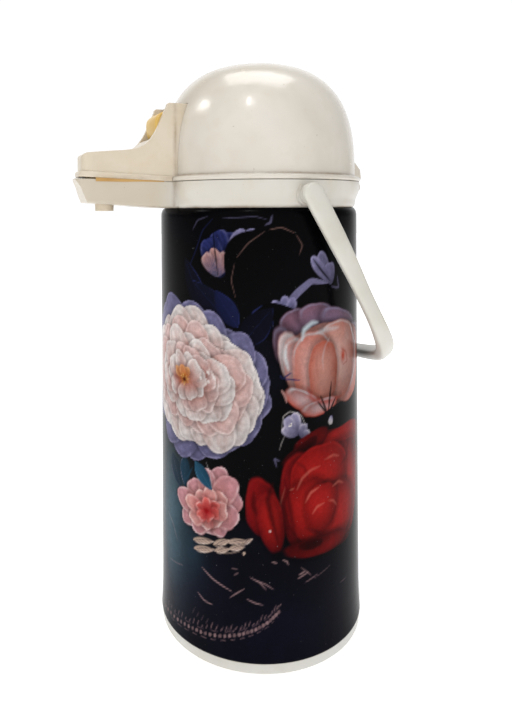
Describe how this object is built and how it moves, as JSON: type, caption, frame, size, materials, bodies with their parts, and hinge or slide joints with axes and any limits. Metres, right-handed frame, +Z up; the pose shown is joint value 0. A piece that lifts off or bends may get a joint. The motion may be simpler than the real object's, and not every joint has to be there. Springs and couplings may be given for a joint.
{
  "type": "pump pot",
  "caption": "Vacuum pump pot with a painted steel casing, hinged dome lid, push pump, spout with a latch lever and a swinging carrying bail.",
  "frame": {"origin": "centre of the foot, on the surface that the pot stands on", "axes": "+Z up along the casing's axis; the spout points along -Y, the lid's hinge is at +Y, and the bail turns on studs at +X and -X"},
  "size_m": [0.1502, 0.1973, 0.3611],
  "materials": {
    "cream_plastic": "moulded, slightly aged, semi-gloss",
    "lacquered_steel": "dark gloss lacquer with a painted flower pattern",
    "silvered_glass": "silvered double-wall glass",
    "rubber_grey": "soft grey rubber",
    "inner_plastic": "natural polypropylene",
    "aged_plastic": "yellowed inner moulding",
    "yellow_plastic": "yellow moulded lever",
    "soft_bellows": "translucent soft bellows",
    "steel": "zinc plated"
  },
  "bodies": {
    "root": {"base_ring": "cream_plastic", "base_plug": "cream_plastic", "liner_cushion": "rubber_grey", "casing": "lacquered_steel", "liner_outer_wall": "silvered_glass", "liner_inner_wall": "silvered_glass", "neck_gasket": "rubber_grey", "collar": "cream_plastic", "hinge_pin": "steel", "handle_studs": "cream_plastic", "neck_ring": "inner_plastic", "tube_seal": "rubber_grey", "dip_tube": "inner_plastic", "outlet_pipe": "inner_plastic", "nozzle": "cream_plastic", "spout_tray": "aged_plastic", "spout_cover": "cream_plastic", "cover_screws": "steel", "latch_pin": "steel", "latch_spring": "steel"},
    "lid": {"dome_lid": "cream_plastic", "lid_plate": "inner_plastic", "lid_gasket": "rubber_grey", "air_valve_flap": "rubber_grey", "lid_screws": "steel", "bellows": "soft_bellows", "button_spring": "steel"},
    "button": {"button_plunger": "inner_plastic", "push_button": "cream_plastic"},
    "latch": {"latch_lever": "yellow_plastic"},
    "bail": {"bail_handle": "cream_plastic"}
  },
  "joints": [
    {"name": "lid_hinge", "type": "hinge", "parent": "root", "child": "lid", "pos_m": [0, 0.069, 0.2808], "axis": [-1, 0, 0], "range_deg": [0, 95]},
    {"name": "button_press", "type": "slide", "parent": "lid", "child": "button", "axis": [0, 0, -1], "range_m": [0, 0.02], "stiffness_N_per_m": 160, "springref_m": -0.01, "deforming": ["bellows", "button_spring"]},
    {"name": "latch_tilt", "type": "hinge", "parent": "root", "child": "latch", "pos_m": [0, -0.066, 0.3178], "axis": [1, 0, 0], "range_deg": [0, 12], "stiffness_Nm_per_rad": 0.08, "springref_deg": -20.05},
    {"name": "bail_swing", "type": "hinge", "parent": "root", "child": "bail", "pos_m": [0, 0, 0.2745], "axis": [1, 0, 0], "range_deg": [0, 202]}
  ]
}
